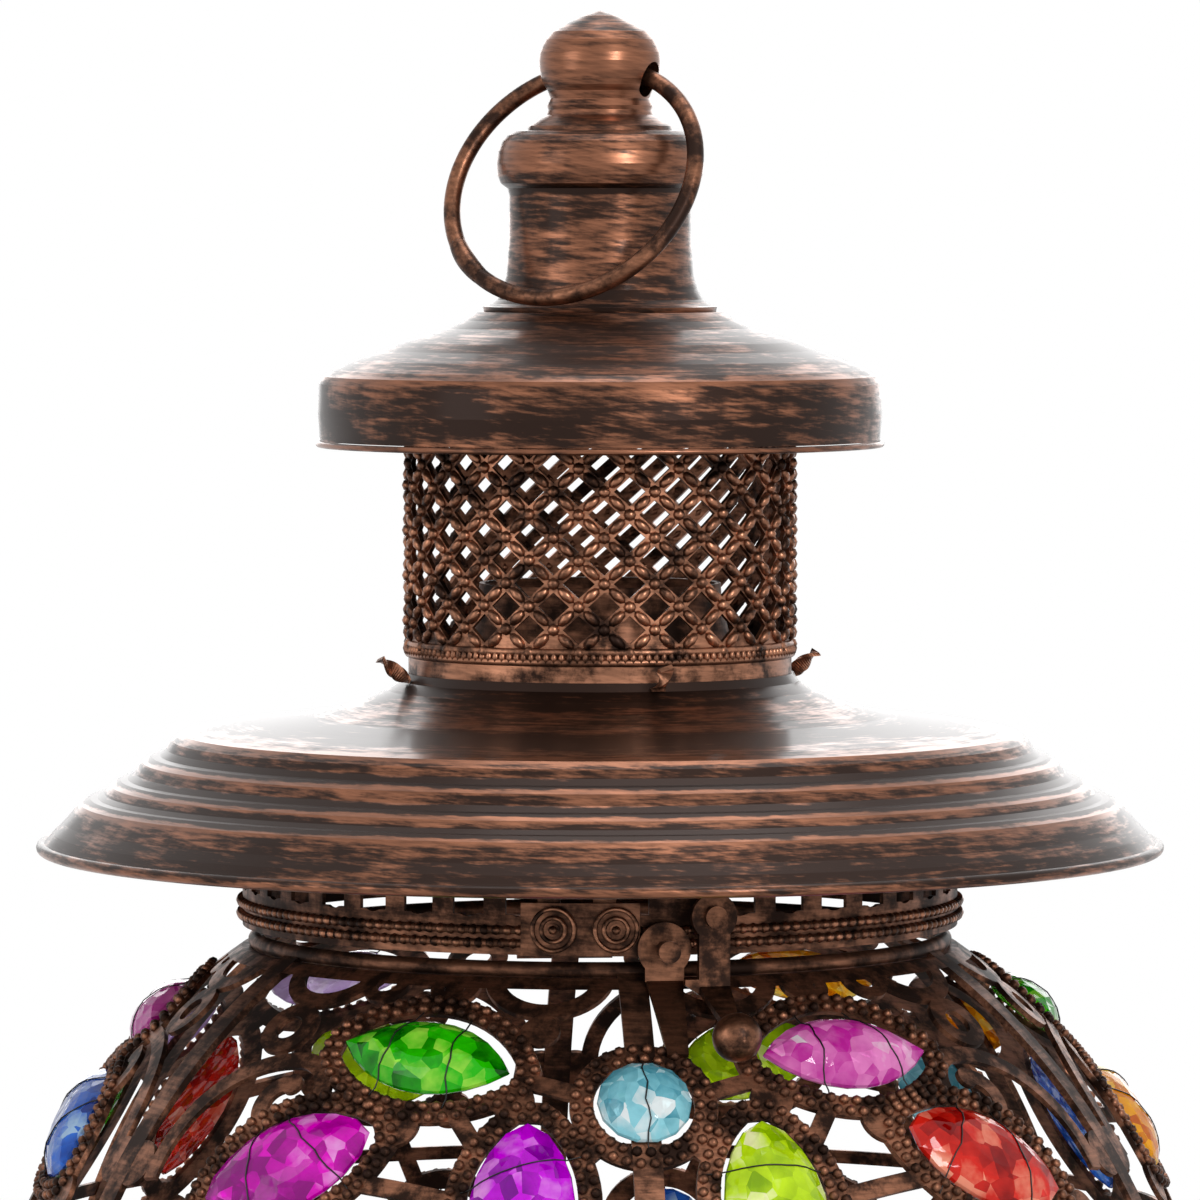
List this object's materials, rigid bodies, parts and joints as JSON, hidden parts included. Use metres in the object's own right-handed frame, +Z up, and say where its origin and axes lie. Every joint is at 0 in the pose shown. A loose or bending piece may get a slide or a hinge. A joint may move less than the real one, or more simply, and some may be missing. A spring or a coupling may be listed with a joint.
{
  "type": "ramadan fanous lantern",
  "caption": "Pierced globe lantern set with coloured stones, on a spun foot, with a hinged roof, a latch hook, a lattice chimney and a hanging ring.",
  "frame": {"origin": "middle of the foot's underside, on the lantern's axis", "axes": "+Z up the lantern, -Y towards the latch at the front, +Y towards the roof's hinge"},
  "size_m": [0.2306, 0.2272, 0.3931],
  "materials": {
    "aged_copper": "antique copper plate, dark patina rubbed back on the high parts",
    "dark_copper": "antique copper plate, dark patina rubbed back on the high parts",
    "filigree_copper": "antique copper plate, dark patina rubbed back on the high parts",
    "pressed_copper": "antique copper plate, dark patina rubbed back on the high parts",
    "spun_copper": "antique copper plate, dark patina rubbed back on the high parts",
    "steel": "dull zinc",
    "stone_amber": "moulded glass, smooth crown",
    "stone_aqua": "moulded glass, smooth crown",
    "stone_blue": "moulded glass, smooth crown",
    "stone_green": "moulded glass, smooth crown",
    "stone_lilac": "moulded glass, smooth crown",
    "stone_lime": "moulded glass, smooth crown",
    "stone_magenta": "moulded glass, smooth crown",
    "stone_pink": "moulded glass, smooth crown",
    "stone_purple": "moulded glass, smooth crown",
    "stone_red": "moulded glass, smooth crown"
  },
  "bodies": {
    "globe": {"foot": "spun_copper", "floor_pan": "aged_copper", "base_strip": "pressed_copper", "lower_ring": "aged_copper", "top_ring": "aged_copper", "rib_1": "aged_copper", "rib_2": "aged_copper", "rib_3": "aged_copper", "rib_4": "aged_copper", "rib_5": "aged_copper", "rib_6": "aged_copper", "filigree_1": "filigree_copper", "filigree_2": "filigree_copper", "filigree_3": "filigree_copper", "filigree_4": "filigree_copper", "filigree_5": "filigree_copper", "filigree_6": "filigree_copper", "stones_green": "stone_green", "stones_pink": "stone_pink", "stones_magenta": "stone_magenta", "stones_red": "stone_red", "stones_purple": "stone_purple", "stones_lime": "stone_lime", "stones_aqua": "stone_aqua", "stones_blue": "stone_blue", "stones_lilac": "stone_lilac", "stones_amber": "stone_amber", "candle_cup": "aged_copper", "cup_rivet": "steel", "keeper_tongue": "dark_copper", "keeper_peg": "dark_copper", "hinge_leaf_globe": "dark_copper", "hinge_pin": "steel"},
    "roof": {"big_roof": "spun_copper", "collar": "aged_copper", "latch_plate": "pressed_copper", "hook_rivet": "dark_copper", "hinge_leaf_roof": "dark_copper", "throat": "aged_copper", "gallery": "pressed_copper", "gallery_tabs": "pressed_copper", "small_roof": "spun_copper", "chimney_cap": "spun_copper", "finial": "spun_copper", "finial_screw": "steel"},
    "hook": {"latch_hook": "dark_copper", "hook_knob": "dark_copper"},
    "ring": {"bail_ring": "dark_copper"}
  },
  "joints": [
    {"name": "lid_hinge", "type": "hinge", "parent": "globe", "child": "roof", "pos_m": [0, 0.0678, 0.23114], "axis": [-1, 0, 0], "range_deg": [0, 60]},
    {"name": "hook_swing", "type": "hinge", "parent": "roof", "child": "hook", "pos_m": [0.01334, -0.06678, 0.23844], "axis": [0.1959, -0.9806, 0], "range_deg": [-27, 60]},
    {"name": "bail_swing", "type": "hinge", "parent": "roof", "child": "ring", "pos_m": [0, 0, 0.38095], "axis": [-0.848, 0.5299, 0], "range_deg": [0, 300]}
  ]
}
